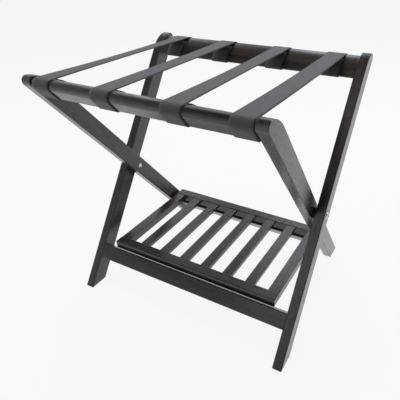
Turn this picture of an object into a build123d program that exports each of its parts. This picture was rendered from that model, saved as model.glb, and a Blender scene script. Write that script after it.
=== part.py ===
from build123d import *
import os
from math import atan2, cos, degrees, hypot, radians, sin, sqrt, tan

# Folding luggage rack: two wooden frames crossed like scissors, four webbing
# straps across the top and a slatted shelf that hinges up for folding.
# Millimetres. X runs along the rails, -Y is the front, +Z is up and z = 0 is
# the floor.  The scissor axis is the line y = 0, z = PIVOT_HEIGHT.

# Overall frame
OVERALL_WIDTH = 514.0          # over the outer legs
LEG_THICKNESS = 20.0           # along X
LEG_WIDTH = 34.0               # across the leg, seen from the side
LEG_SLOPE = 52.9               # degrees from the floor when open
PIVOT_HEIGHT = 240.5
INNER_LEG_REACH = 338.0        # from the pivot to the tip of the nose
OUTER_LEG_REACH = 333.0
FRAME_GAP = 4.5                # between an outer and an inner leg

# Rounding of the wood
NOSE_RADIUS = 10.0             # outer corner of a leg's top end
CROWN_RADIUS = 58.0            # long sweep on the upper side of the top end
ARRIS = 1.6                    # broken edges of legs and slats
BAR_ARRIS = 2.5                # broken edges of rails and crossbars

# Rails and crossbars
RAIL_DEPTH = 33.0              # from a rail's crown down to its level underside
FRONT_RAIL_DROP = 4.0          # a rail's nose sits this far below those of its legs
REAR_RAIL_DROP = 7.0
CROSSBAR_HEIGHT = 78.6         # of a crossbar's upper side, on its legs' centre lines
CROSSBAR_BREADTH = 33.5        # along the leg
CROSSBAR_THICKNESS = 20.0      # across the leg
FRONT_CROSSBAR_INSET = 0.0     # front crossbar is flush with its legs' upper faces
REAR_CROSSBAR_INSET = 7.0      # rear crossbar is set in from them

# Glued dowel joints
DOWEL_DIAMETER = 8.0
DOWEL_IN_LEG = 13.0
DOWEL_IN_BAR = 22.0
GLUE_GAP = 0.05                # round the dowel
DOWEL_END_ROOM = 0.5           # left at the bottom of each hole
DOWEL_SPACING = 18.0

# Scissor pivots
BOLT_DIAMETER = 5.0
BOLT_HEAD_DIAMETER = 15.0
BOLT_HEAD_HEIGHT = 3.4
BOLT_SOCKET = 4.0              # hexagon across flats
SLEEVE_DIAMETER = 7.5
SLEEVE_FLANGE_DIAMETER = 10.5
SLEEVE_FLANGE = 2.0
SLEEVE_SLOT = 1.6
SLEEVE_IN_OUTER_LEG = 11.0
COUNTERBORE_DIAMETER = 12.5
COUNTERBORE_DEPTH = 2.8
SPACER_DIAMETER = 22.0
RUNNING_GAP = 0.05             # radial, turning fits
THREAD_GAP = 0.02              # radial, screwed fits
SIDE_PLAY = 0.2                # axial, turning fits

# Slatted shelf
SHELF_SIDE_GAP = 6.0           # to the inner legs
SHELF_SETBACK = 7.2            # behind the front crossbar's upper edge
SHELF_OVERHANG = 4.7           # past the rear crossbar's upper edge
SHELF_REST_GAP = 0.3           # above the rear crossbar
STRIP_THICKNESS = 18.5
FRONT_STRIP_WIDTH = 22.6
REAR_STRIP_WIDTH = 24.0
SLAT_COUNT = 8
SLAT_WIDTH = 22.0
SLAT_THICKNESS = 10.0
END_SLAT_WIDTH = 25.0
END_SLAT_THICKNESS = 17.5
SLAT_RECESS = 1.0              # slat tops below the strips' tops
TENON_LENGTH = 9.0
TENON_THICKNESS = 4.0
TENON_SHOULDER = 3.0

# Shelf hinges
HINGE_INSET = 60.0             # from the shelf's end to the middle of a hinge
HINGE_LENGTH = 42.0
LEAF_THICKNESS = 1.2
FIXED_LEAF_WIDTH = 18.0
LEAF_TOP_MARGIN = 1.2          # moving leaf stops below the strip's top
KNUCKLE_DIAMETER = 5.2
KNUCKLE_GAP = 0.25
PIN_DIAMETER = 2.4
SCREW_DIAMETER = 2.6
SCREW_HEAD_DIAMETER = 4.8
SCREW_LENGTH = 14.0
SCREW_SPACING = 24.0

# Webbing straps
STRAP_WIDTH = 38.0
STRAP_THICKNESS = 1.6
STRAP_EDGE_GAP = 1.5           # from the end straps to the inner legs
FRONT_STRAP_SLIDE = (3.0, 6.5, 13.2, 0.0)      # along the rail, from even spacing
REAR_STRAP_SLIDE = (-1.5, -4.5, 1.5, -4.3)
STRAP_DRAW_IN = (13.0, 4.0, 6.5, 1.5)          # how much narrower each is at mid-span
STRAP_BOW = 3.0                                # of all straps, sideways at mid-span
STRAP_LAP = 8.0                # loop's tail ends this far from the crown

HALF = LEG_WIDTH / 2
SLOPE = radians(LEG_SLOPE)
OUTER_LEG_X = OVERALL_WIDTH / 2 - LEG_THICKNESS / 2
INNER_LEG_X = OUTER_LEG_X - LEG_THICKNESS - FRAME_GAP
OUTER_BAR_LENGTH = 2 * OUTER_LEG_X - LEG_THICKNESS
INNER_BAR_LENGTH = 2 * INNER_LEG_X - LEG_THICKNESS
SIDES = {"left": -1, "right": 1}

# Each frame is drawn in its own side plane: s runs up the leg from the pivot
# and o runs across it, towards the side that faces down and away.
PIVOT = (0, 0, PIVOT_HEIGHT)
INNER_PLANE = Plane(PIVOT, x_dir=(0, -cos(SLOPE), sin(SLOPE)), z_dir=(1, 0, 0))
OUTER_PLANE = Plane(PIVOT, x_dir=(0, cos(SLOPE), sin(SLOPE)), z_dir=(-1, 0, 0))


def along(level, o):
    """Distance s up a leg at which the line o is at this height."""
    return (level - PIVOT_HEIGHT + o * cos(SLOPE)) / sin(SLOPE)


CROSSBAR_TOP = along(CROSSBAR_HEIGHT, 0)
CROSSBAR_FOOT = CROSSBAR_TOP - CROSSBAR_BREADTH


def in_room(plane, s, o):
    """Room (y, z) of a point given in a frame's side plane."""
    point = plane.from_local_coords((s, o, 0))
    return point.Y, point.Z


def nose_centre(reach):
    return reach - NOSE_RADIUS, HALF - NOSE_RADIUS


def crown_height(reach):
    """Height of the highest point of a nose."""
    s, o = nose_centre(reach)
    return PIVOT_HEIGHT + s * sin(SLOPE) - o * cos(SLOPE) + NOSE_RADIUS


def on_circle(centre, radius, angle):
    return centre[0] + radius * cos(angle), centre[1] + radius * sin(angle)


def nosed_outline(reach, level, corner):
    """Side profile of a nosed bar that is cut level at a height."""
    nose = nose_centre(reach)
    crown_o = CROWN_RADIUS - HALF
    run = sqrt((CROWN_RADIUS - NOSE_RADIUS) ** 2 - (nose[1] - crown_o) ** 2)
    crown = nose[0] - run, crown_o
    meet = atan2(nose[1] - crown[1], run)
    nose_start = on_circle(nose, NOSE_RADIUS, radians(90))
    nose_mid = on_circle(nose, NOSE_RADIUS, (radians(90) + meet) / 2)
    nose_end = on_circle(nose, NOSE_RADIUS, meet)
    crown_mid = on_circle(crown, CROWN_RADIUS, (radians(-90) + meet) / 2)
    crown_end = on_circle(crown, CROWN_RADIUS, radians(-90))
    outer_foot = along(level, HALF), HALF
    inner_foot = along(level, -HALF), -HALF
    outline = Curve() + [
        Line(outer_foot, nose_start),
        ThreePointArc(nose_start, nose_mid, nose_end),
        ThreePointArc(nose_end, crown_mid, crown_end),
        Line(crown_end, inner_foot),
        Line(inner_foot, outer_foot),
    ]
    face = make_face(outline)
    feet = [face.vertices().sort_by_distance(foot)[0] for foot in (outer_foot, inner_foot)]
    return fillet(feet, corner)


def crossbar_outline(inset):
    """Profile of a crossbar: a board cut square to the legs."""
    upper = inset - HALF
    lower = upper + CROSSBAR_THICKNESS
    corners = [
        (CROSSBAR_TOP, upper),
        (CROSSBAR_TOP, lower),
        (CROSSBAR_FOOT, lower),
        (CROSSBAR_FOOT, upper),
    ]
    face = make_face(Polyline(*corners, close=True))
    return fillet(face.vertices(), BAR_ARRIS)


def bar(plane, outline, length, x=0.0):
    """Bar of this profile, centred on x."""
    return Pos(x, 0, 0) * extrude(plane * outline, amount=length / 2, both=True)


def rod(x_start, x_end, diameter, y, z):
    """Round rod along X."""
    length = abs(x_end - x_start)
    turn = Pos((x_start + x_end) / 2, y, z) * Rot(0, 90, 0)
    return turn * Cylinder(diameter / 2, length)


def box_between(corner, opposite):
    size = [abs(b - a) for a, b in zip(corner, opposite)]
    centre = [(a + b) / 2 for a, b in zip(corner, opposite)]
    return Pos(*centre) * Box(*size)


def rounded_side_edges(solid, radius):
    """Break all edges of the two faces that look along X."""
    ends = solid.faces().filter_by(Axis.X)
    return fillet(ends.edges(), radius)


# Wooden frames
front_rail_reach = INNER_LEG_REACH - FRONT_RAIL_DROP
rear_rail_reach = OUTER_LEG_REACH - REAR_RAIL_DROP
front_rail_under = crown_height(front_rail_reach) - RAIL_DEPTH
rear_rail_under = crown_height(rear_rail_reach) - RAIL_DEPTH

inner_leg_outline = nosed_outline(INNER_LEG_REACH, 0.0, ARRIS)
outer_leg_outline = nosed_outline(OUTER_LEG_REACH, 0.0, ARRIS)
front_rail_outline = nosed_outline(front_rail_reach, front_rail_under, BAR_ARRIS)
rear_rail_outline = nosed_outline(rear_rail_reach, rear_rail_under, BAR_ARRIS)

front_rail = bar(INNER_PLANE, front_rail_outline, INNER_BAR_LENGTH)
rear_rail = bar(OUTER_PLANE, rear_rail_outline, OUTER_BAR_LENGTH)
rear_crossbar = bar(INNER_PLANE, crossbar_outline(REAR_CROSSBAR_INSET), INNER_BAR_LENGTH)
front_crossbar = bar(OUTER_PLANE, crossbar_outline(FRONT_CROSSBAR_INSET), OUTER_BAR_LENGTH)

legs = {}
for side, sign in SIDES.items():
    inner = bar(INNER_PLANE, inner_leg_outline, LEG_THICKNESS, sign * INNER_LEG_X)
    outer = bar(OUTER_PLANE, outer_leg_outline, LEG_THICKNESS, sign * OUTER_LEG_X)
    legs["inner", side] = rounded_side_edges(inner, ARRIS)
    legs["outer", side] = rounded_side_edges(outer, ARRIS)


# Dowels: two at each end of each rail and crossbar
def dowel_spots(plane, reach, inset):
    """Room (y, z) of a frame's four dowels on one side."""
    rail_s = reach - LEG_WIDTH / 2
    rail_spots = [in_room(plane, rail_s - step * DOWEL_SPACING, 0) for step in (0, 1)]
    bar_s = (CROSSBAR_TOP + CROSSBAR_FOOT) / 2
    bar_o = inset - HALF + CROSSBAR_THICKNESS / 2
    bar_spots = [in_room(plane, bar_s + half * DOWEL_SPACING, bar_o) for half in (-0.5, 0.5)]
    return rail_spots, bar_spots


def dowel_pair(spots, joint_x, sign, extra_radius=0.0, extra_length=0.0):
    start = joint_x - sign * (DOWEL_IN_BAR + extra_length)
    end = joint_x + sign * (DOWEL_IN_LEG + extra_length)
    diameter = DOWEL_DIAMETER + 2 * extra_radius
    return [rod(start, end, diameter, y, z) for y, z in spots]


dowels = {"inner": [], "outer": []}
frame_layout = {
    "inner": (INNER_PLANE, front_rail_reach, REAR_CROSSBAR_INSET, INNER_BAR_LENGTH / 2),
    "outer": (OUTER_PLANE, rear_rail_reach, FRONT_CROSSBAR_INSET, OUTER_BAR_LENGTH / 2),
}
rails = {"inner": front_rail, "outer": rear_rail}
crossbars = {"inner": rear_crossbar, "outer": front_crossbar}
for name, (plane, reach, inset, joint) in frame_layout.items():
    rail_spots, bar_spots = dowel_spots(plane, reach, inset)
    for side, sign in SIDES.items():
        joint_x = sign * joint
        rail_holes = dowel_pair(rail_spots, joint_x, sign, GLUE_GAP, DOWEL_END_ROOM)
        bar_holes = dowel_pair(bar_spots, joint_x, sign, GLUE_GAP, DOWEL_END_ROOM)
        rails[name] -= rail_holes
        crossbars[name] -= bar_holes
        legs[name, side] -= rail_holes + bar_holes
        dowels[name] += dowel_pair(rail_spots + bar_spots, joint_x, sign)


# Scissor pivots: a bolt through the outer leg screws into a sleeve nut that
# the inner leg turns on, with a spacer between the two legs.
pivots = {}
for side, sign in SIDES.items():
    outer_face = OUTER_LEG_X + LEG_THICKNESS / 2
    outer_inside = OUTER_LEG_X - LEG_THICKNESS / 2
    inner_outside = INNER_LEG_X + LEG_THICKNESS / 2
    inner_face = INNER_LEG_X - LEG_THICKNESS / 2
    flange_seat = inner_face + COUNTERBORE_DEPTH - SIDE_PLAY
    sleeve_end = outer_inside + SLEEVE_IN_OUTER_LEG

    def pivot_rod(start, end, diameter):
        return rod(sign * start, sign * end, diameter, 0, PIVOT_HEIGHT)

    legs["inner", side] -= [
        pivot_rod(inner_face - 1, inner_outside + 1, SLEEVE_DIAMETER + 2 * RUNNING_GAP),
        pivot_rod(inner_face - 1, inner_face + COUNTERBORE_DEPTH, COUNTERBORE_DIAMETER),
    ]
    legs["outer", side] -= [
        pivot_rod(outer_inside - 1, outer_face + 1, BOLT_DIAMETER + 2 * RUNNING_GAP),
        pivot_rod(outer_inside - 1, sleeve_end + SIDE_PLAY, SLEEVE_DIAMETER + 2 * THREAD_GAP),
    ]

    flange_face = flange_seat - SLEEVE_FLANGE
    sleeve = pivot_rod(flange_seat, sleeve_end, SLEEVE_DIAMETER)
    sleeve += pivot_rod(flange_face, flange_seat, SLEEVE_FLANGE_DIAMETER)
    bore_start = flange_seat + SLEEVE_FLANGE
    sleeve -= pivot_rod(bore_start, sleeve_end + 1, BOLT_DIAMETER + 2 * THREAD_GAP)
    slot_centre = sign * flange_face, 0, PIVOT_HEIGHT
    sleeve -= Pos(*slot_centre) * Box(SLEEVE_FLANGE, SLEEVE_FLANGE_DIAMETER + 1, SLEEVE_SLOT)

    head_radius = BOLT_HEAD_DIAMETER / 2
    dome_radius = (head_radius ** 2 + BOLT_HEAD_HEIGHT ** 2) / (2 * BOLT_HEAD_HEIGHT)
    shank_radius = BOLT_DIAMETER / 2
    shank_length = outer_face - bore_start - 1
    bolt_profile = make_face(Curve() + [
        RadiusArc((0, BOLT_HEAD_HEIGHT), (head_radius, 0), dome_radius),
        Polyline(
            (head_radius, 0),
            (shank_radius, 0),
            (shank_radius, -shank_length),
            (0, -shank_length),
            (0, BOLT_HEAD_HEIGHT),
        ),
    ])
    head_plane = Plane((sign * outer_face, 0, PIVOT_HEIGHT), z_dir=(sign, 0, 0))
    socket = Pos(0, 0, BOLT_HEAD_HEIGHT / 3) * RegularPolygon(BOLT_SOCKET / 2, 6, major_radius=False)
    bolt = revolve(Plane.XZ * bolt_profile, axis=Axis.Z)
    bolt = head_plane * (bolt - extrude(socket, amount=BOLT_HEAD_HEIGHT))

    spacer = pivot_rod(inner_outside + SIDE_PLAY, outer_inside, SPACER_DIAMETER)
    spacer -= pivot_rod(inner_outside, outer_inside + 1, SLEEVE_DIAMETER + 2 * RUNNING_GAP)
    pivots[side] = {"bolt": bolt, "sleeve_nut": sleeve, "spacer": spacer}


# Slatted shelf: it lies on the rear crossbar's upper edge and on the front
# crossbar's sloping upper side.
front_edge = in_room(OUTER_PLANE, CROSSBAR_TOP, FRONT_CROSSBAR_INSET - HALF)
rear_edge = in_room(INNER_PLANE, CROSSBAR_TOP, REAR_CROSSBAR_INSET - HALF)
rear_round = in_room(INNER_PLANE, CROSSBAR_TOP - BAR_ARRIS, REAR_CROSSBAR_INSET - HALF + BAR_ARRIS)
shelf_front = front_edge[0] + SHELF_SETBACK
shelf_rear = rear_edge[0] + SHELF_OVERHANG
shelf_half = INNER_BAR_LENGTH / 2 - SHELF_SIDE_GAP
front_slope_level = front_edge[1] - SHELF_SETBACK / tan(SLOPE)
shelf_under = max(rear_round[1] + BAR_ARRIS, front_slope_level) + SHELF_REST_GAP
shelf_top = shelf_under + STRIP_THICKNESS
front_shoulder = shelf_front + FRONT_STRIP_WIDTH
rear_shoulder = shelf_rear - REAR_STRIP_WIDTH
slat_top = shelf_top - SLAT_RECESS


def strip(y_low, y_high):
    solid = box_between((-shelf_half, y_low, shelf_under), (shelf_half, y_high, shelf_top))
    return fillet(solid.edges(), ARRIS)


def slat(x, width, thickness):
    """Slat with a tenon at each end."""
    body = box_between(
        (x - width / 2, front_shoulder, slat_top - thickness),
        (x + width / 2, rear_shoulder, slat_top),
    )
    body = fillet(body.edges().filter_by(Axis.Y), ARRIS)
    return body + tenon(x, width, thickness)


def tenon(x, width, thickness):
    half = width / 2 - TENON_SHOULDER
    middle = slat_top - thickness / 2
    return box_between(
        (x - half, front_shoulder - TENON_LENGTH, middle - TENON_THICKNESS / 2),
        (x + half, rear_shoulder + TENON_LENGTH, middle + TENON_THICKNESS / 2),
    )


front_strip = strip(shelf_front, front_shoulder)
rear_strip = strip(rear_shoulder, shelf_rear)
end_slat_x = shelf_half - END_SLAT_WIDTH / 2
slat_pitch = 2 * end_slat_x / (SLAT_COUNT - 1)
slats = []
for number in range(SLAT_COUNT):
    x = -end_slat_x + number * slat_pitch
    size = SLAT_WIDTH, SLAT_THICKNESS
    if number in (0, SLAT_COUNT - 1):
        size = END_SLAT_WIDTH, END_SLAT_THICKNESS
    slats.append(slat(x, *size))
    front_strip -= tenon(x, *size)
    rear_strip -= tenon(x, *size)


# Shelf hinges: the fixed leaf lies on the rear crossbar's upper rear face and
# the moving leaf on the back of the shelf's rear strip.
face_normal = sin(SLOPE), cos(SLOPE)
face_down = cos(SLOPE), -sin(SLOPE)
knuckle_radius = KNUCKLE_DIAMETER / 2
axis_y = shelf_rear + knuckle_radius
axis_rise = (knuckle_radius - face_normal[0] * (axis_y - rear_edge[0])) / face_normal[1]
axis_z = rear_edge[1] + axis_rise
fixed_top_y = axis_y - knuckle_radius * face_normal[0]
fixed_top_z = axis_z - knuckle_radius * face_normal[1]


def knuckle(x_start, x_end):
    return rod(x_start, x_end, KNUCKLE_DIAMETER, axis_y, axis_z)


def screw(x, y, z, normal):
    """Countersunk screw whose head is flush with a leaf, driven against the normal."""
    plane = Plane((x, y, z), x_dir=(1, 0, 0), z_dir=(0, normal[0], normal[1]))
    sink = (SCREW_HEAD_DIAMETER - SCREW_DIAMETER) / 2
    profile = Polyline(
        (0, 0),
        (SCREW_HEAD_DIAMETER / 2, 0),
        (SCREW_DIAMETER / 2, -sink),
        (SCREW_DIAMETER / 2, -SCREW_LENGTH + SCREW_DIAMETER),
        (0, -SCREW_LENGTH),
        close=True,
    )
    shape = revolve(Plane.XZ * make_face(profile), axis=Axis.Z)
    return plane * shape


fixed_leaves, moving_leaves, pins = {}, {}, {}
fixed_screws, moving_screws = [], []
for side, sign in SIDES.items():
    x = sign * (shelf_half - HINGE_INSET)
    start = x - HINGE_LENGTH / 2
    end = x + HINGE_LENGTH / 2
    third = HINGE_LENGTH / 3
    middle = start + third, end - third

    leaf_plane = Plane(
        (x, fixed_top_y, fixed_top_z), x_dir=(1, 0, 0), z_dir=(0, face_normal[0], face_normal[1])
    )
    leaf = leaf_plane * Pos(0, FIXED_LEAF_WIDTH / 2, LEAF_THICKNESS / 2) * Box(
        HINGE_LENGTH, FIXED_LEAF_WIDTH, LEAF_THICKNESS
    )
    room = KNUCKLE_DIAMETER + 2 * KNUCKLE_GAP
    leaf -= rod(middle[0] - KNUCKLE_GAP, middle[1] + KNUCKLE_GAP, room, axis_y, axis_z)
    leaf += knuckle(start, middle[0] - KNUCKLE_GAP)
    leaf += knuckle(middle[1] + KNUCKLE_GAP, end)
    leaf -= rod(start - 1, end + 1, PIN_DIAMETER + 2 * THREAD_GAP, axis_y, axis_z)

    plate = box_between(
        (start, shelf_rear, axis_z), (end, shelf_rear + LEAF_THICKNESS, shelf_top - LEAF_TOP_MARGIN)
    )
    for outer_start, outer_end in ((start - 1, middle[0]), (middle[1], end + 1)):
        plate -= box_between(
            (outer_start, shelf_rear - 1, axis_z - 1),
            (outer_end, shelf_rear + LEAF_THICKNESS + 1, axis_z + room / 2),
        )
    plate += knuckle(*middle)
    plate -= rod(start - 1, end + 1, PIN_DIAMETER + 2 * RUNNING_GAP, axis_y, axis_z)

    strip_middle = (shelf_top - LEAF_TOP_MARGIN + axis_z + knuckle_radius) / 2
    for step in (-0.5, 0.5):
        screw_x = x + step * SCREW_SPACING
        down = FIXED_LEAF_WIDTH * 0.6
        lift = LEAF_THICKNESS
        fixed_y = fixed_top_y + down * face_down[0] + lift * face_normal[0]
        fixed_z = fixed_top_z + down * face_down[1] + lift * face_normal[1]
        fixed = screw(screw_x, fixed_y, fixed_z, face_normal)
        moving = screw(screw_x, shelf_rear + LEAF_THICKNESS, strip_middle, (1, 0))
        leaf -= fixed
        crossbars["inner"] -= fixed
        plate -= moving
        rear_strip -= moving
        fixed_screws.append(fixed)
        moving_screws.append(moving)
    fixed_leaves[side] = leaf
    moving_leaves[side] = plate
    pins[side] = rod(start, end, PIN_DIAMETER, axis_y, axis_z)


# Straps: each has a loop sewn round either rail and a taut span between them.
front_nose = in_room(INNER_PLANE, *nose_centre(front_rail_reach))
rear_nose = in_room(OUTER_PLANE, *nose_centre(rear_rail_reach))
span_run = rear_nose[0] - front_nose[0]
span_drop = front_nose[1] - rear_nose[1]
span_length = hypot(span_run, span_drop)
span_tilt = degrees(atan2(span_drop, span_run))


def span_frame(x):
    """Place at the front crown: local Y runs along the span, local Z is up from its underside."""
    return Pos(x, *front_nose) * Rot(-span_tilt, 0, 0) * Pos(0, 0, NOSE_RADIUS)


def loop(plane, outline, x, crown_y, inward):
    """Band round a rail, cut away where the span lies on it."""
    outer = offset(outline, STRAP_THICKNESS)
    band = bar(plane, outer, STRAP_WIDTH, x) - bar(plane, outline, STRAP_WIDTH + 2, x)
    past_rail = crown_y + inward * 2 * LEG_WIDTH
    tail_end = crown_y + inward * STRAP_LAP
    above = box_between((-STRAP_WIDTH, crown_y, 0), (STRAP_WIDTH, past_rail, LEG_WIDTH))
    lap = box_between(
        (-STRAP_WIDTH, crown_y, -STRAP_THICKNESS), (STRAP_WIDTH, tail_end, STRAP_THICKNESS)
    )
    return band - span_frame(x) * above - span_frame(x) * lap


def span_outline(front_x, rear_x, draw_in):
    """Seen from above: the webbing leans, bows and draws in between the rails."""
    half = STRAP_WIDTH / 2
    waist = half - draw_in / 2
    middle_x = (front_x + rear_x) / 2 + STRAP_BOW
    middle_y = span_length / 2
    left = Spline((front_x - half, 0), (middle_x - waist, middle_y), (rear_x - half, span_length))
    right = Spline((rear_x + half, span_length), (middle_x + waist, middle_y), (front_x + half, 0))
    front_end = Line(right @ 1, left @ 0)
    rear_end = Line(left @ 1, right @ 0)
    return make_face(Curve() + [left, rear_end, right, front_end])


straps = []
end_strap_x = INNER_BAR_LENGTH / 2 - STRAP_EDGE_GAP - STRAP_WIDTH / 2
strap_pitch = 2 * end_strap_x / (len(STRAP_DRAW_IN) - 1)
for number, draw_in in enumerate(STRAP_DRAW_IN):
    even_x = -end_strap_x + number * strap_pitch
    front_x = even_x + FRONT_STRAP_SLIDE[number]
    rear_x = even_x + REAR_STRAP_SLIDE[number]
    front = loop(INNER_PLANE, front_rail_outline, front_x, 0, 1)
    rear = loop(OUTER_PLANE, rear_rail_outline, rear_x, span_length, -1)
    flat = extrude(span_outline(front_x, rear_x, draw_in), amount=STRAP_THICKNESS)
    straps.append({"front_loop": front, "span": span_frame(0) * flat, "rear_loop": rear})


nodes = {
    "front_top_rail": rails["inner"],
    "rear_top_rail": rails["outer"],
    "rear_crossbar": crossbars["inner"],
    "front_crossbar": crossbars["outer"],
    "inner_frame_dowels": Compound(dowels["inner"]),
    "outer_frame_dowels": Compound(dowels["outer"]),
    "shelf_front_strip": front_strip,
    "shelf_rear_strip": rear_strip,
    "hinge_screws_crossbar": Compound(fixed_screws),
    "hinge_screws_shelf": Compound(moving_screws),
}
for side in SIDES:
    nodes["inner_leg_" + side] = legs["inner", side]
    nodes["outer_leg_" + side] = legs["outer", side]
    for piece, solid in pivots[side].items():
        nodes["pivot_" + piece + "_" + side] = solid
    nodes["hinge_fixed_leaf_" + side] = fixed_leaves[side]
    nodes["hinge_moving_leaf_" + side] = moving_leaves[side]
    nodes["hinge_pin_" + side] = pins[side]
for number, solid in enumerate(slats, start=1):
    nodes["shelf_slat_" + str(number)] = solid
for number, pieces in enumerate(straps, start=1):
    for piece, solid in pieces.items():
        nodes["strap_" + str(number) + "_" + piece] = solid

os.makedirs("parts", exist_ok=True)
for name, solid in nodes.items():
    export_step(solid, "parts/" + name + ".step")
print(len(nodes), "pieces")
print("scissor axis z", round(PIVOT_HEIGHT, 2))
print("shelf hinge axis y, z", round(axis_y, 3), round(axis_z, 3))
print("shelf", round(shelf_front, 2), round(shelf_rear, 2), round(shelf_top, 2), round(shelf_half, 2))
print("rail undersides", round(front_rail_under, 2), round(rear_rail_under, 2))
print("span length", round(span_length, 2))
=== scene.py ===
# %% [markdown]
# # A folding luggage rack
# Two dark wooden frames cross like scissors, four webbing straps span the top and a
# slatted shelf hangs between the legs.  The solid pieces come ready made in a packed
# frame.  This lesson gives them their finishes, weaves the straps, and sets up a small
# white studio.  Everything is in metres, and the front of the rack faces -Y.

# %% Load the frame
from math import atan2, cos, hypot, pi, radians, sin, sqrt

import bmesh
import bpy
from mathutils import Matrix, Vector


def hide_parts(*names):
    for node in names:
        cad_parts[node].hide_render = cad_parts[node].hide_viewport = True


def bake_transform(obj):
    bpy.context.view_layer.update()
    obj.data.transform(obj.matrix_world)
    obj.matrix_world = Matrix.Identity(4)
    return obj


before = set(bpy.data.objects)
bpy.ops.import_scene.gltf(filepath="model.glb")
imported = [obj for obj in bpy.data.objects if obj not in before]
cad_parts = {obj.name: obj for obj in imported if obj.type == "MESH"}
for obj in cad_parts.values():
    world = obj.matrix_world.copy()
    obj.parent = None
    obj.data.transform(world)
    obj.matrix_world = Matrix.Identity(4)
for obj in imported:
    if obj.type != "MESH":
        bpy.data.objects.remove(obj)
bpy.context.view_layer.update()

# %% [markdown]
# ## Small helpers for shader nodes
# A finish is a chain of shader nodes.  Writing each link by hand hides the idea behind
# plumbing, so two helpers add a node with its settings and join sockets by name.

# %% Node helpers
NOISE_ROUGHNESS = 0.55                 # weight of each finer layer of a noise
COLOUR_ENDS = (6, 7)                   # a Mix node's two colour inputs
MIXED_COLOUR = 2                       # and its colour output


def add_node(tree, kind, **settings):
    """A new node, with its properties set."""
    node = tree.nodes.new(kind)
    for key, value in settings.items():
        setattr(node, key, value)
    return node


def join(tree, source, target):
    """Link one socket to another."""
    tree.links.new(source, target)


def math_node(tree, operation, first, second=None):
    """A Math node fed by sockets or plain numbers; gives back its output."""
    node = add_node(tree, "ShaderNodeMath", operation=operation)
    for place, value in enumerate((first, second)):
        if value is None:
            continue
        if isinstance(value, (int, float)):
            node.inputs[place].default_value = value
        else:
            join(tree, value, node.inputs[place])
    return node.outputs[0]


def blend_colours(tree, factor, first, second):
    """A colour mix whose ends are sockets or plain colours."""
    node = add_node(tree, "ShaderNodeMix", data_type="RGBA")
    join(tree, factor, node.inputs[0])
    for place, value in zip(COLOUR_ENDS, (first, second)):
        if isinstance(value, tuple):
            node.inputs[place].default_value = value
        else:
            join(tree, value, node.inputs[place])
    return node.outputs[MIXED_COLOUR]


def stretched_noise(tree, vector, stretch, detail):
    """Noise whose cells are drawn out: stretch is cells per metre along x, y and z."""
    scaled = add_node(tree, "ShaderNodeVectorMath", operation="MULTIPLY")
    join(tree, vector, scaled.inputs[0])
    scaled.inputs[1].default_value = stretch
    noise = add_node(tree, "ShaderNodeTexNoise")
    noise.inputs["Scale"].default_value = 1.0
    noise.inputs["Detail"].default_value = detail
    noise.inputs["Roughness"].default_value = NOISE_ROUGHNESS
    join(tree, scaled.outputs[0], noise.inputs["Vector"])
    return noise.outputs["Fac"]


def remap(tree, value, low, high, to_low=0.0, to_high=1.0):
    """Clamped map of a value from one range to another."""
    node = add_node(tree, "ShaderNodeMapRange")
    join(tree, value, node.inputs["Value"])
    node.inputs["From Min"].default_value = low
    node.inputs["From Max"].default_value = high
    node.inputs["To Min"].default_value = to_low
    node.inputs["To Max"].default_value = to_high
    return node.outputs["Result"]


def new_group(name, inputs, outputs):
    """An empty shader group with named sockets; gives back its tree and end nodes."""
    tree = bpy.data.node_groups.new(name, "ShaderNodeTree")
    for socket, kind in inputs:
        tree.interface.new_socket(socket, in_out="INPUT", socket_type=kind)
    for socket, kind in outputs:
        tree.interface.new_socket(socket, in_out="OUTPUT", socket_type=kind)
    start = add_node(tree, "NodeGroupInput")
    end = add_node(tree, "NodeGroupOutput")
    return tree, start, end

# %% [markdown]
# ## Grain under dark lacquer
# The rack is hardwood, stained almost black and lacquered to a satin sheen.  Close up,
# slow bands of brown run along each piece and short pores break the surface.  An image
# would fix the pattern to one piece, so the grain is noise, drawn out along one axis.
# Every wooden piece uses it, and so it is a node group.

# %% Wood grain group
GRAIN_BANDS = (5.0, 95.0, 95.0)        # cells per metre: long bands, about 10 mm apart
GRAIN_STREAKS = (22.0, 620.0, 620.0)   # finer streaks inside the bands
GRAIN_PORES = (85.0, 1500.0, 1500.0)   # pores about 12 mm long and under 1 mm wide
LACQUER_LEAST = 0.42                   # weight of the clear coat between the streaks
LACQUER_MOST = 0.64                    # and on them
BAND_RANGE = (0.36, 0.66)              # noise values at which a band starts and is full
STREAK_RANGE = (0.35, 0.7)
PORE_RANGE = (0.6, 0.72)
GLOSS_RANGE = (0.3, 0.7)               # noise values of the smoothest and the roughest wood
SHINE_RANGE = (0.36, 0.66)             # noise values of the least and the most lacquer
BAND_SHARE = 0.65                      # of the brown; the streaks give the rest
STREAK_SHARE = 0.35
STREAK_HEIGHT = 0.35                   # where a pore is 1 deep
WOOD_ROUGHNESS = (0.25, 0.33)
PORE_ROUGHNESS = 0.18                  # added in the pores
PORE_COLOUR = (0.002, 0.002, 0.002, 1.0)

grain, grain_in, grain_out = new_group(
    "wood_grain",
    [("Vector", "NodeSocketVector"), ("Dark", "NodeSocketColor"), ("Brown", "NodeSocketColor")],
    [
        ("Color", "NodeSocketColor"),
        ("Roughness", "NodeSocketFloat"),
        ("Lacquer", "NodeSocketFloat"),
        ("Height", "NodeSocketFloat"),
    ],
)
bands = stretched_noise(grain, grain_in.outputs["Vector"], GRAIN_BANDS, 3.0)
streaks = stretched_noise(grain, grain_in.outputs["Vector"], GRAIN_STREAKS, 3.0)
pores = stretched_noise(grain, grain_in.outputs["Vector"], GRAIN_PORES, 1.0)
band_mask = remap(grain, bands, *BAND_RANGE)
streak_mask = remap(grain, streaks, *STREAK_RANGE)
pore_mask = remap(grain, pores, *PORE_RANGE)

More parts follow.
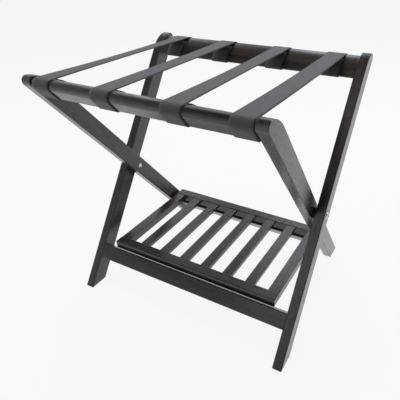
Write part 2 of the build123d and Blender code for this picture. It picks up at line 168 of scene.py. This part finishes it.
band_brown = math_node(grain, "MULTIPLY", band_mask, BAND_SHARE)
streak_brown = math_node(grain, "MULTIPLY", streak_mask, STREAK_SHARE)
brown_share = math_node(grain, "ADD", band_brown, streak_brown)
grain_colour = blend_colours(
    grain, brown_share, grain_in.outputs["Dark"], grain_in.outputs["Brown"]
)
join(grain, blend_colours(grain, pore_mask, grain_colour, PORE_COLOUR), grain_out.inputs["Color"])

wood_rough = remap(grain, bands, *GLOSS_RANGE, *WOOD_ROUGHNESS)
pore_rough = math_node(grain, "MULTIPLY", pore_mask, PORE_ROUGHNESS)
join(grain, math_node(grain, "ADD", wood_rough, pore_rough), grain_out.inputs["Roughness"])

shine = remap(grain, streaks, *SHINE_RANGE, LACQUER_LEAST, LACQUER_MOST)
between_pores = math_node(grain, "SUBTRACT", 1.0, pore_mask)
join(grain, math_node(grain, "MULTIPLY", shine, between_pores), grain_out.inputs["Lacquer"])

streak_height = math_node(grain, "MULTIPLY", streak_mask, STREAK_HEIGHT)
join(grain, math_node(grain, "SUBTRACT", streak_height, pore_mask), grain_out.inputs["Height"])
print("grain group:", len(grain.nodes), "nodes")

# %% [markdown]
# ## One wood, four directions
# Grain runs along a piece, so rails take it along X, slats along Y, and each pair of legs
# along its own slope.  A Mapping node turns the pattern; colour and lacquer stay the same.
# The lacquer is a clear coat: a second, smoother reflection above the stained wood, which
# catches the white floor on the faces that look down.

# %% Wood finishes
LEG_SLOPE = radians(52.9)              # of the open legs, from the floor
STAIN_DARK = (0.009, 0.0075, 0.0075, 1.0)
STAIN_BROWN = (0.048, 0.034, 0.028, 1.0)
LACQUER_ROUGHNESS = 0.26
GRAIN_RELIEF = 0.25                    # strength of the grain's bump
GRAIN_DEPTH = 0.0004


def wood_material(name, turn):
    """Stained and lacquered wood; turn brings the piece's length onto the pattern's X."""
    material = bpy.data.materials.new(name)
    material.use_nodes = True
    tree = material.node_tree
    shader = tree.nodes["Principled BSDF"]
    place = add_node(tree, "ShaderNodeTexCoord")
    mapping = add_node(tree, "ShaderNodeMapping")
    mapping.inputs["Rotation"].default_value = turn
    join(tree, place.outputs["Object"], mapping.inputs["Vector"])
    figure = add_node(tree, "ShaderNodeGroup", node_tree=grain)
    figure.inputs["Dark"].default_value = STAIN_DARK
    figure.inputs["Brown"].default_value = STAIN_BROWN
    join(tree, mapping.outputs[0], figure.inputs["Vector"])
    join(tree, figure.outputs["Color"], shader.inputs["Base Color"])
    join(tree, figure.outputs["Roughness"], shader.inputs["Roughness"])
    relief = add_node(tree, "ShaderNodeBump")
    relief.inputs["Strength"].default_value = GRAIN_RELIEF
    relief.inputs["Distance"].default_value = GRAIN_DEPTH
    join(tree, figure.outputs["Height"], relief.inputs["Height"])
    join(tree, relief.outputs[0], shader.inputs["Normal"])
    join(tree, figure.outputs["Lacquer"], shader.inputs["Coat Weight"])
    shader.inputs["Coat Roughness"].default_value = LACQUER_ROUGHNESS
    return material


rail_wood = wood_material("espresso_rails", (0.0, 0.0, 0.0))
slat_wood = wood_material("espresso_slats", (0.0, 0.0, -pi / 2))
inner_leg_wood = wood_material("espresso_inner_legs", (LEG_SLOPE - pi, 0.0, -pi / 2))
outer_leg_wood = wood_material("espresso_outer_legs", (-LEG_SLOPE, 0.0, -pi / 2))
print("wood finishes:", rail_wood.name, slat_wood.name, inner_leg_wood.name, outer_leg_wood.name)

# %% [markdown]
# ## Fine scuffs
# Handling leaves fine scratches on metal and dulls plastic unevenly.  Both are a change of
# gloss more than of colour, so a group mixes a drawn-out noise with an even one and turns
# them into roughness between two values that each material chooses.

# %% Scuff group
SCRATCHES = (2500.0, 60.0, 60.0)       # cells per metre
MOTTLE = (900.0, 900.0, 900.0)
WORN_RANGE = (0.4, 0.6)                # noise values of unmarked and of fully worn surface

scuff, scuff_in, scuff_out = new_group(
    "fine_scuff",
    [("Vector", "NodeSocketVector"), ("Low", "NodeSocketFloat"), ("High", "NodeSocketFloat")],
    [("Roughness", "NodeSocketFloat"), ("Height", "NodeSocketFloat")],
)
lines = stretched_noise(scuff, scuff_in.outputs["Vector"], SCRATCHES, 2.0)
specks = stretched_noise(scuff, scuff_in.outputs["Vector"], MOTTLE, 2.0)
marks_mean = math_node(scuff, "MULTIPLY", math_node(scuff, "ADD", lines, specks), 0.5)
worn = remap(scuff, marks_mean, *WORN_RANGE)
spread = math_node(scuff, "SUBTRACT", scuff_in.outputs["High"], scuff_in.outputs["Low"])
added = math_node(scuff, "MULTIPLY", spread, worn)
scuff_rough = math_node(scuff, "ADD", scuff_in.outputs["Low"], added)
join(scuff, scuff_rough, scuff_out.inputs["Roughness"])
join(scuff, worn, scuff_out.inputs["Height"])
print("scuff group:", len(scuff.nodes), "nodes")

# %% [markdown]
# ## Bright steel, black nylon and raw dowels
# The pivot bolts and hinges are plated steel and the spacers are dull black nylon.  Both use
# the scuffs.  The dowels inside the joints are bare wood that shows only if the rack is
# taken apart, so they reuse the grain in lighter colours.

# %% Hardware finishes
STEEL_COLOUR = (0.50, 0.50, 0.51, 1.0)
STEEL_ROUGHNESS = (0.18, 0.34)
STEEL_MARKS = 0.00005                  # depth of the scuffs
NYLON_COLOUR = (0.014, 0.014, 0.015, 1.0)
NYLON_ROUGHNESS = (0.45, 0.6)
NYLON_MARKS = 0.0001
MARKS_RELIEF = 0.1                     # strength of the scuffs' bump
DOWEL_DARK = (0.42, 0.27, 0.15, 1.0)
DOWEL_LIGHT = (0.60, 0.42, 0.25, 1.0)
DOWEL_ROUGHNESS = 0.6


def hardware_material(name, colour, metallic, roughness, marks_depth):
    """Metal or plastic whose gloss is broken by fine scuffs."""
    material = bpy.data.materials.new(name)
    material.use_nodes = True
    tree = material.node_tree
    shader = tree.nodes["Principled BSDF"]
    shader.inputs["Base Color"].default_value = colour
    shader.inputs["Metallic"].default_value = metallic
    place = add_node(tree, "ShaderNodeTexCoord")
    marks = add_node(tree, "ShaderNodeGroup", node_tree=scuff)
    marks.inputs["Low"].default_value = roughness[0]
    marks.inputs["High"].default_value = roughness[1]
    join(tree, place.outputs["Object"], marks.inputs["Vector"])
    join(tree, marks.outputs["Roughness"], shader.inputs["Roughness"])
    relief = add_node(tree, "ShaderNodeBump")
    relief.inputs["Strength"].default_value = MARKS_RELIEF
    relief.inputs["Distance"].default_value = marks_depth
    join(tree, marks.outputs["Height"], relief.inputs["Height"])
    join(tree, relief.outputs[0], shader.inputs["Normal"])
    return material


def dowel_material():
    """Bare hardwood with the same grain, light and unlacquered."""
    material = bpy.data.materials.new("raw_dowels")
    material.use_nodes = True
    tree = material.node_tree
    shader = tree.nodes["Principled BSDF"]
    place = add_node(tree, "ShaderNodeTexCoord")
    figure = add_node(tree, "ShaderNodeGroup", node_tree=grain)
    figure.inputs["Dark"].default_value = DOWEL_DARK
    figure.inputs["Brown"].default_value = DOWEL_LIGHT
    join(tree, place.outputs["Object"], figure.inputs["Vector"])
    join(tree, figure.outputs["Color"], shader.inputs["Base Color"])
    shader.inputs["Roughness"].default_value = DOWEL_ROUGHNESS
    return material


steel = hardware_material("plated_steel", STEEL_COLOUR, 1.0, STEEL_ROUGHNESS, STEEL_MARKS)
nylon = hardware_material("black_nylon", NYLON_COLOUR, 0.0, NYLON_ROUGHNESS, NYLON_MARKS)
raw_wood = dowel_material()
print("hardware finishes:", steel.name, nylon.name, raw_wood.name)

# %% [markdown]
# ## Dress the solid pieces
# The solid pieces keep their shapes and only change their material.  A piece's name says
# what it is, so a few words in the name choose the finish.

# %% Finish for every solid piece
def finish_for(name):
    """The material that suits a piece's name."""
    if "slat" in name:
        return slat_wood
    if name.startswith("inner_leg"):
        return inner_leg_wood
    if name.startswith("outer_leg"):
        return outer_leg_wood
    if "dowels" in name:
        return raw_wood
    if "spacer" in name:
        return nylon
    if name.startswith(("pivot", "hinge")):
        return steel
    return rail_wood


for name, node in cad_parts.items():
    node.data.materials.clear()
    node.data.materials.append(finish_for(name))
print("dressed", len(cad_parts), "solid pieces")

# %% [markdown]
# ## Woven webbing
# The straps are flat black webbing, about 38 mm wide, and under the studio light they read
# as dark grey.  Its plain weave repeats every millimetre or so.  The pattern must follow
# the strap round the rails, so it reads the strap's own UV map, laid out in metres:
# u runs across the strap and v along it.  Two rows of ribs pass over and under each other
# in a chequer, and the selvedge at both edges is tighter and darker.

# %% Weave group
STRAP_WIDTH = 0.038
YARN_ACROSS = 0.00125                  # spacing of the long yarns
YARN_ALONG = 0.00105                   # spacing of the cross yarns
SELVEDGE = 0.0022
UNDER_HEIGHT = 0.4                     # of a yarn that passes under another
FUZZ_SCALE = 700.0
FUZZ_DETAIL = 3.0
FUZZ_RANGE = (0.3, 0.7)
FUZZ_SHADE = (0.7, 1.0)                # how much of a thread's colour the fuzz leaves

weave, weave_in, weave_out = new_group(
    "plain_weave",
    [("UV", "NodeSocketVector")],
    [("Height", "NodeSocketFloat"), ("Valley_shade_and_fuzz", "NodeSocketFloat"), ("Selvedge", "NodeSocketFloat")],
)
apart = add_node(weave, "ShaderNodeSeparateXYZ")
join(weave, weave_in.outputs["UV"], apart.inputs[0])
across = math_node(weave, "DIVIDE", apart.outputs["X"], YARN_ACROSS)
along = math_node(weave, "DIVIDE", apart.outputs["Y"], YARN_ALONG)


def yarn_arch(place):
    """Rounded height of parallel yarns, one to each whole number."""
    wave = math_node(weave, "SINE", math_node(weave, "MULTIPLY", place, pi))
    return math_node(weave, "ABSOLUTE", wave)


long_yarn = yarn_arch(across)
cross_yarn = yarn_arch(along)
cells = math_node(weave, "ADD", math_node(weave, "FLOOR", across), math_node(weave, "FLOOR", along))
over = math_node(weave, "FLOORED_MODULO", cells, 2.0)
under = math_node(weave, "SUBTRACT", 1.0, over)
long_lift = remap(weave, over, 0.0, 1.0, UNDER_HEIGHT, 1.0)
cross_lift = remap(weave, under, 0.0, 1.0, UNDER_HEIGHT, 1.0)
long_top = math_node(weave, "MULTIPLY", long_yarn, long_lift)
cross_top = math_node(weave, "MULTIPLY", cross_yarn, cross_lift)
woven = math_node(weave, "MAXIMUM", long_top, cross_top)
join(weave, woven, weave_out.inputs["Height"])
fuzz = add_node(weave, "ShaderNodeTexNoise")
fuzz.inputs["Scale"].default_value = FUZZ_SCALE
fuzz.inputs["Detail"].default_value = FUZZ_DETAIL
join(weave, weave_in.outputs["UV"], fuzz.inputs["Vector"])
shade = remap(weave, fuzz.outputs["Fac"], *FUZZ_RANGE, *FUZZ_SHADE)
# The colour mask follows the weave's height, so the valleys between yarns get painted shade; the
# fuzz adds random tone.
join(weave, math_node(weave, "MULTIPLY", woven, shade), weave_out.inputs["Valley_shade_and_fuzz"])
edge = math_node(weave, "ABSOLUTE", apart.outputs["X"])
selvedge_start = STRAP_WIDTH / 2 - SELVEDGE
selvedge_full = STRAP_WIDTH / 2 - SELVEDGE / 3
join(weave, remap(weave, edge, selvedge_start, selvedge_full), weave_out.inputs["Selvedge"])
print("weave group:", len(weave.nodes), "nodes")

# %% [markdown]
# ## The webbing's finish
# Such webbing is matt, with a faint sheen where light grazes the yarns.  The weave
# group gives a height for the bump and a mask for the colour, which paints shade into the
# weave's valleys where yarns dip under each other and adds the fuzz's random tone, so the
# sheen and the roughness can stay plain numbers.

# %% Webbing finish
# WEBBING_LOW is painted shade in the weave's valleys and the real colour of the darker selvedge.
WEBBING_LOW = (0.022, 0.022, 0.024, 1.0)
WEBBING_HIGH = (0.098, 0.095, 0.102, 1.0)
WEAVE_RELIEF = 0.5                     # strength of the weave's bump
WEAVE_DEPTH = 0.0003
WEBBING_ROUGHNESS = 0.62
WEBBING_SHEEN = 0.25
SHEEN_ROUGHNESS = 0.45

webbing = bpy.data.materials.new("black_webbing")
webbing.use_nodes = True
web_tree = webbing.node_tree
web_shader = web_tree.nodes["Principled BSDF"]
web_uv = add_node(web_tree, "ShaderNodeUVMap", uv_map="webbing")
web_weave = add_node(web_tree, "ShaderNodeGroup", node_tree=weave)
join(web_tree, web_uv.outputs[0], web_weave.inputs["UV"])
# Painted shade: the yarns are darker where they dip under each other.
shaded_yarn_colour = blend_colours(web_tree, web_weave.outputs["Valley_shade_and_fuzz"], WEBBING_LOW, WEBBING_HIGH)
web_colour = blend_colours(web_tree, web_weave.outputs["Selvedge"], shaded_yarn_colour, WEBBING_LOW)
join(web_tree, web_colour, web_shader.inputs["Base Color"])
web_relief = add_node(web_tree, "ShaderNodeBump")
web_relief.inputs["Strength"].default_value = WEAVE_RELIEF
web_relief.inputs["Distance"].default_value = WEAVE_DEPTH
join(web_tree, web_weave.outputs["Height"], web_relief.inputs["Height"])
join(web_tree, web_relief.outputs[0], web_shader.inputs["Normal"])
web_shader.inputs["Roughness"].default_value = WEBBING_ROUGHNESS
web_shader.inputs["Sheen Weight"].default_value = WEBBING_SHEEN
web_shader.inputs["Sheen Roughness"].default_value = SHEEN_ROUGHNESS
print("webbing:", len(web_tree.nodes), "nodes and the weave group")

# %% [markdown]
# ## The strap's route
# Each strap is one length of webbing.  It wraps the front rail, crosses to the rear rail,
# wraps that too, and its two tails lie under the span.  A rail's section is a nosed bar:
# a small round at the outer corner, a long sweep on the upper side, two broken lower
# corners.  The centres of those rounds fix the whole route, so they are worked out from
# the rack's own sizes, in the side view (y, z).

# %% Rail section
PIVOT_HEIGHT = 0.2405
LEG_HALF = 0.017
NOSE_RADIUS = 0.010
CROWN_RADIUS = 0.058
CORNER_RADIUS = 0.0025
RAIL_DEPTH = 0.033
FRONT_REACH = 0.334
REAR_REACH = 0.326
STRAP_THICKNESS = 0.0014
STRAP_LIFT = 0.0009                    # middle of the webbing above the wood
TAIL_REACH = 0.017                     # tails end this far from the crowns


class RailSection:
    """Centres of a rail's rounds in the side view; outward is -1 in front and +1 behind."""

    def __init__(self, reach, outward):
        self.outward = outward
        nose_s = reach - NOSE_RADIUS
        nose_o = LEG_HALF - NOSE_RADIUS
        crown_o = CROWN_RADIUS - LEG_HALF
        run = sqrt((CROWN_RADIUS - NOSE_RADIUS) ** 2 - (nose_o - crown_o) ** 2)
        self.sweep = pi / 2 + atan2(nose_o - crown_o, run)
        self.nose = self.place(nose_s, nose_o)
        self.crown = self.place(nose_s - run, crown_o)
        level = self.nose[1] + NOSE_RADIUS - RAIL_DEPTH + CORNER_RADIUS
        corner_o = LEG_HALF - CORNER_RADIUS
        self.outer_corner = self.place(self.along(level, corner_o), corner_o)
        self.inner_corner = self.place(self.along(level, -corner_o), -corner_o)

    def along(self, level, o):
        """How far up the leg a height lies, o across it."""
        return (level - PIVOT_HEIGHT + o * cos(LEG_SLOPE)) / sin(LEG_SLOPE)

    def place(self, s, o):
        """Room (y, z) of a point s up the leg and o across it."""
        y = self.outward * (s * cos(LEG_SLOPE) + o * sin(LEG_SLOPE))
        z = PIVOT_HEIGHT + s * sin(LEG_SLOPE) - o * cos(LEG_SLOPE)
        return y, z


front = RailSection(FRONT_REACH, -1)
rear = RailSection(REAR_REACH, 1)
span_length = hypot(rear.nose[0] - front.nose[0], rear.nose[1] - front.nose[1])
span_tilt = atan2(front.nose[1] - rear.nose[1], rear.nose[0] - front.nose[0])
print("span between the crowns:", round(span_length, 4))

# %% [markdown]
# ## Walk the webbing along its route
# A strip that follows straight runs and rounds is like pulling tape off a reel.  The strap
# starts as one edge across its width.  Each step extrudes that edge and then slides it, on
# a straight run, or turns it about the centre of a round.  Every new row of vertices notes
# how much webbing has been used, which later becomes v in the UV map.

# %% Strap builder
ROWS_ACROSS = 8
STEP_ANGLE = radians(9)
SPAN_STEPS = 40
RUN_STEPS = 4
STRAP_BOW = 0.003                      # sideways at mid-span


class Webbing:
    """A strip of webbing that is laid along a route, one row at a time, in the middle plane."""

    def __init__(self, y, z):
        self.mesh = bmesh.new()
        self.used = self.mesh.verts.layers.float.new("used")
        self.across = self.mesh.verts.layers.float.new("across")
        self.length = 0.0
        ends = [self.mesh.verts.new((side * STRAP_WIDTH / 2, y, z)) for side in (-1, 1)]
        edge = self.mesh.edges.new(ends)
        bmesh.ops.subdivide_edges(self.mesh, edges=[edge], cuts=ROWS_ACROSS - 1)
        self.row = list(self.mesh.edges)

    def pull(self, length):
        """Extrude the last row and give back the new row's vertices."""
        made = bmesh.ops.extrude_edge_only(self.mesh, edges=self.row)["geom"]
        fresh = {item for item in made if isinstance(item, bmesh.types.BMVert)}
        self.row = [e for v in fresh for e in v.link_edges if set(e.verts) <= fresh]
        self.row = list(dict.fromkeys(self.row))
        self.length += length
        for vert in fresh:
            vert[self.used] = self.length
        return list(fresh)

    def straight(self, heading, length, steps):
        """Slide along a heading (y, z)."""
        step = Vector((0.0, heading[0], heading[1])) * (length / steps)
        for _ in range(steps):
            bmesh.ops.translate(self.mesh, verts=self.pull(length / steps), vec=step)

    def turn(self, centre, angle, radius):
        """Turn clockwise, seen with y to the right, about a centre."""
        steps = max(2, round(angle / STEP_ANGLE))
        turn = Matrix.Rotation(-angle / steps, 3, "X")
        middle = Vector((0.0, centre[0], centre[1]))
        for _ in range(steps):
            verts = self.pull(radius * angle / steps)
            bmesh.ops.rotate(self.mesh, verts=verts, cent=middle, matrix=turn)

    def settle(self, front_x, rear_x, draw_in, span_start, span_end):
        """Move the strap to its place; between the rails it leans, bows and draws in."""
        for vert in self.mesh.verts:
            part = (vert[self.used] - span_start) / (span_end - span_start)
            part = min(max(part, 0.0), 1.0)
            slack = 4 * part * (1 - part)
            centre = front_x + (rear_x - front_x) * part + STRAP_BOW * slack
            vert[self.across] = vert.co.x
            vert.co.x = centre + vert.co.x * (1 - slack * draw_in / STRAP_WIDTH)

    def finish(self, name):
        """Make the object: UVs in metres, then thickness."""
        uv = self.mesh.loops.layers.uv.new("webbing")
        for face in self.mesh.faces:
            face.smooth = True
            for loop in face.loops:
                loop[uv].uv = (loop.vert[self.across], loop.vert[self.used])
        bmesh.ops.recalc_face_normals(self.mesh, faces=self.mesh.faces)
        data = bpy.data.meshes.new(name)
        self.mesh.to_mesh(data)
        self.mesh.free()
        strap = bpy.data.objects.new(name, data)
        bpy.context.collection.objects.link(strap)
        strap.data.materials.append(webbing)
        thickness = strap.modifiers.new("thickness", "SOLIDIFY")
        thickness.thickness = STRAP_THICKNESS
        thickness.offset = 0.0
        return strap

# %% [markdown]
# ## Lengths and headings of the route
# The walk needs to know how far to slide and which way.  Both follow from the centres of
# the rounds: a straight run between two rounds is as long as their centres are apart along
# that run.

# %% Route helpers
FOLD_INNER = pi - LEG_SLOPE            # turn at a rail's sharp inner corner
FOLD_OUTER = LEG_SLOPE                 # turn at its blunt outer corner
OVER_NOSE = pi - LEG_SLOPE


def tail_angle():
    """How far a tail runs up the sweep, as an angle at the sweep's centre."""
    return front.sweep - TAIL_REACH / CROWN_RADIUS


def distance(a, b):
    """Length from one (y, z) to another."""
    return hypot(b[0] - a[0], b[1] - a[1])


def heading(a, b):
    """Unit step from one (y, z) towards another."""
    length = distance(a, b)
    return (b[0] - a[0]) / length, (b[1] - a[1]) / length


def leg_run(upper, lower, outward):
    """Length along the leg between the centres of two rounds."""
    rise = upper[1] - lower[1]
    reach = outward * (upper[0] - lower[0])
    return rise * sin(LEG_SLOPE) + reach * cos(LEG_SLOPE)


print("a tail runs up the sweep by", round(tail_angle() * CROWN_RADIUS, 4))

# %% [markdown]
# ## Four straps
# The route goes tail, sweep, inner corner, underside, outer corner, outer face, nose, span,
# and then the same rounds in the opposite order on the rear rail.  All the turns are
# clockwise.  The straps have slid along the rails in use, so each has its own place on the
# front and the rear rail, and its own loss of width at mid-span.

# %% Lay the straps
STRAP_ON_FRONT = (-0.189, -0.0575, 0.0772, 0.192)
STRAP_ON_REAR = (-0.1935, -0.0685, 0.0655, 0.1877)
STRAP_DRAW_IN = (0.013, 0.004, 0.0065, 0.0015)


def lay_strap(number, front_x, rear_x, draw_in):
    """One strap, from its front tail to its rear tail; gives back its object and cut length."""
    sweep_radius = CROWN_RADIUS + STRAP_LIFT
    nose_radius = NOSE_RADIUS + STRAP_LIFT
    corner_radius = CORNER_RADIUS + STRAP_LIFT
    down_front = cos(LEG_SLOPE), -sin(LEG_SLOPE)
    up_front = -cos(LEG_SLOPE), sin(LEG_SLOPE)
    down_rear = -cos(LEG_SLOPE), -sin(LEG_SLOPE)
    up_rear = cos(LEG_SLOPE), sin(LEG_SLOPE)
    inner_normal = pi / 2 - LEG_SLOPE
    start = inner_normal + tail_angle()
    tail_y = front.crown[0] + sweep_radius * cos(start)
    tail_z = front.crown[1] + sweep_radius * sin(start)

    strip = Webbing(tail_y, tail_z)
    strip.turn(front.crown, tail_angle(), sweep_radius)
    strip.straight(down_front, leg_run(front.crown, front.inner_corner, -1), RUN_STEPS)
    strip.turn(front.inner_corner, FOLD_INNER, corner_radius)
    strip.straight((-1, 0), distance(front.inner_corner, front.outer_corner), RUN_STEPS)
    strip.turn(front.outer_corner, FOLD_OUTER, corner_radius)
    strip.straight(up_front, leg_run(front.nose, front.outer_corner, -1), RUN_STEPS)
    strip.turn(front.nose, OVER_NOSE + span_tilt, nose_radius)
    span_start = strip.length
    strip.straight(heading(front.nose, rear.nose), span_length, SPAN_STEPS)
    span_end = strip.length
    strip.turn(rear.nose, OVER_NOSE - span_tilt, nose_radius)
    strip.straight(down_rear, leg_run(rear.nose, rear.outer_corner, 1), RUN_STEPS)
    strip.turn(rear.outer_corner, FOLD_OUTER, corner_radius)
    strip.straight((-1, 0), distance(rear.outer_corner, rear.inner_corner), RUN_STEPS)
    strip.turn(rear.inner_corner, FOLD_INNER, corner_radius)
    strip.straight(up_rear, leg_run(rear.crown, rear.inner_corner, 1), RUN_STEPS)
    strip.turn(rear.crown, tail_angle(), sweep_radius)
    length = strip.length
    strip.settle(front_x, rear_x, draw_in, span_start, span_end)
    strap = strip.finish("webbing_strap_" + str(number))
    node = "strap_" + str(number)
    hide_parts(node + "_front_loop", node + "_span", node + "_rear_loop")
    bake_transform(strap)
    return strap, length


for number, places in enumerate(zip(STRAP_ON_FRONT, STRAP_ON_REAR, STRAP_DRAW_IN), start=1):
    strap, cut = lay_strap(number, *places)
    print(strap.name, "cut length", round(cut, 4))

# %% [markdown]
# ## A white floor
# The rack stands on a white floor.  The floor looks plain white to the camera and in
# reflections, through the Light Path node, so the lamps can stay at a level that shows the
# dark wood as it is.  A small share of the floor is ordinary paper, which keeps the soft
# shadow.

# %% Floor
FLOOR_HALF = 30.0                      # far enough for a level horizon
FLOOR_PAPER = (0.62, 0.62, 0.62, 1.0)
FLOOR_GLOW = 0.9                       # share of the floor's white that no shadow dims

floor_mesh = bmesh.new()
bmesh.ops.create_grid(floor_mesh, x_segments=1, y_segments=1, size=FLOOR_HALF)
floor_data = bpy.data.meshes.new("floor")
floor_mesh.to_mesh(floor_data)
floor_mesh.free()
floor = bpy.data.objects.new("floor", floor_data)
bpy.context.collection.objects.link(floor)

floor_white = bpy.data.materials.new("floor_white")
floor_white.use_nodes = True
floor_tree = floor_white.node_tree
floor_tree.nodes.clear()
paper = add_node(floor_tree, "ShaderNodeBsdfDiffuse")
paper.inputs["Color"].default_value = FLOOR_PAPER
glow = add_node(floor_tree, "ShaderNodeEmission")
rays = add_node(floor_tree, "ShaderNodeLightPath")
mirrored = rays.outputs["Is Glossy Ray"]
seen = math_node(floor_tree, "MAXIMUM", rays.outputs["Is Camera Ray"], mirrored)
seen = math_node(floor_tree, "MAXIMUM", seen, rays.outputs["Is Transmission Ray"])
share = math_node(floor_tree, "MULTIPLY", seen, FLOOR_GLOW)
floor_mix = add_node(floor_tree, "ShaderNodeMixShader")
join(floor_tree, share, floor_mix.inputs[0])
join(floor_tree, paper.outputs[0], floor_mix.inputs[1])
join(floor_tree, glow.outputs[0], floor_mix.inputs[2])
floor_out = add_node(floor_tree, "ShaderNodeOutputMaterial")
join(floor_tree, floor_mix.outputs[0], floor_out.inputs["Surface"])
floor_data.materials.append(floor_white)
print("floor:", 2 * FLOOR_HALF, "m square")

# %% [markdown]
# ## A pale room with a dark ceiling
# Lacquer mirrors the room as well as the lamps.  A white ceiling would turn the dark wood
# grey, so the room is pale grey at the horizon and darkens upwards.  It is a gradient in the
# world's own shader, and the camera sees the same room as the lacquer does.

# %% Room
ROOM_WALLS = (0.52, 0.56, 0.60, 1.0)
ROOM_CEILING = (0.08, 0.075, 0.07, 1.0)
ROOM_TILT = (0.2, -0.25, 1.0)          # the room darkens upwards, to the right and to the front
DUSK_RANGE = (0.3, 0.7)                # climb at which the walls end and the ceiling starts

world = bpy.data.worlds.new("pale_room")
bpy.context.scene.world = world
world.use_nodes = True
world_tree = world.node_tree
world_tree.nodes.clear()
direction = add_node(world_tree, "ShaderNodeTexCoord")
climb = add_node(world_tree, "ShaderNodeVectorMath", operation="DOT_PRODUCT")
climb.inputs[1].default_value = ROOM_TILT
join(world_tree, direction.outputs["Generated"], climb.inputs[0])
dusk = remap(world_tree, climb.outputs["Value"], *DUSK_RANGE)
room = add_node(world_tree, "ShaderNodeBackground")
room_colour = blend_colours(world_tree, dusk, ROOM_WALLS, ROOM_CEILING)
join(world_tree, room_colour, room.inputs["Color"])
room_out = add_node(world_tree, "ShaderNodeOutputWorld")
join(world_tree, room.outputs[0], room_out.inputs["Surface"])
print("room:", world.name)

# %% [markdown]
# ## Soft light
# A broad lamp above lights the wood and the webbing, and the lacquer doesn't mirror it.  The
# other four are there for the lacquer to mirror: a rim lamp behind on the right draws bright
# lines along the edges, a tall strip in front lifts the right legs, and two small windows at
# the back give some of the slats their cool shine.

# %% Lamps
RACK_MIDDLE = Vector((0.0, 0.0, 0.25))
NEUTRAL = (0.985, 0.975, 1.0)
WARM = (1.0, 0.97, 0.94)
COOL = (0.97, 0.98, 1.0)
SKY = (0.85, 0.93, 1.0)


def soft_lamp(name, place, size, watts, colour, mirrored=True):
    """A lamp panel that looks at the middle of the rack; the lacquer may mirror it or not."""
    light = bpy.data.lights.new(name, "AREA")
    light.shape = "RECTANGLE"
    light.size, light.size_y = size
    light.energy = watts
    light.color = colour
    lamp = bpy.data.objects.new(name, light)
    lamp.location = place
    lamp.rotation_euler = (RACK_MIDDLE - Vector(place)).to_track_quat("-Z", "Y").to_euler()
    lamp.visible_glossy = mirrored
    lamp.visible_camera = False
    bpy.context.collection.objects.link(lamp)


soft_lamp("overhead", (-0.4, 0.5, 2.2), size=(1.8, 1.8), watts=34.0, colour=NEUTRAL, mirrored=False)
soft_lamp("rim", (1.5, 1.9, 1.1), size=(0.8, 0.8), watts=16.0, colour=WARM)
soft_lamp("front_strip", (-0.28, -1.67, 1.57), size=(0.4, 1.9), watts=3.4, colour=COOL)
soft_lamp("window_back", (-0.485, 1.75, 1.75), size=(0.45, 0.5), watts=2.2, colour=SKY)
soft_lamp("window_left", (-1.54, 1.51, 1.52), size=(0.5, 0.5), watts=1.0, colour=SKY)
print("lamps:", ", ".join(light.name for light in bpy.data.lights))

# %% [markdown]
# ## The photograph's point of view
# The camera's place, aim and lens were worked out by matching the rack's corners to the
# photograph.  The photograph is a crop, so the lens is shifted sideways a little.

# %% Camera
CAMERA_PLACE = (0.4371, -0.6361, 0.7012)
CAMERA_TURN = (56.51, 0.628, 27.56)    # degrees
CAMERA_LENS = 36.49                    # millimetres, as is the sensor
CAMERA_SENSOR = 36.0
CAMERA_NEAR = 0.01                     # nothing closer is drawn
CAMERA_SHIFT = (-0.1388, 0.0071)

camera_data = bpy.data.cameras.new("camera")
camera_data.sensor_width = CAMERA_SENSOR
camera_data.lens = CAMERA_LENS
camera_data.shift_x, camera_data.shift_y = CAMERA_SHIFT
camera_data.clip_start = CAMERA_NEAR
camera = bpy.data.objects.new("camera", camera_data)
camera.location = CAMERA_PLACE
camera.rotation_euler = [radians(angle) for angle in CAMERA_TURN]
bpy.context.collection.objects.link(camera)
bpy.context.scene.camera = camera
bpy.context.scene.view_settings.view_transform = "Standard"
print("camera stands", round(Vector(CAMERA_PLACE).length, 3), "m from the rack's foot")
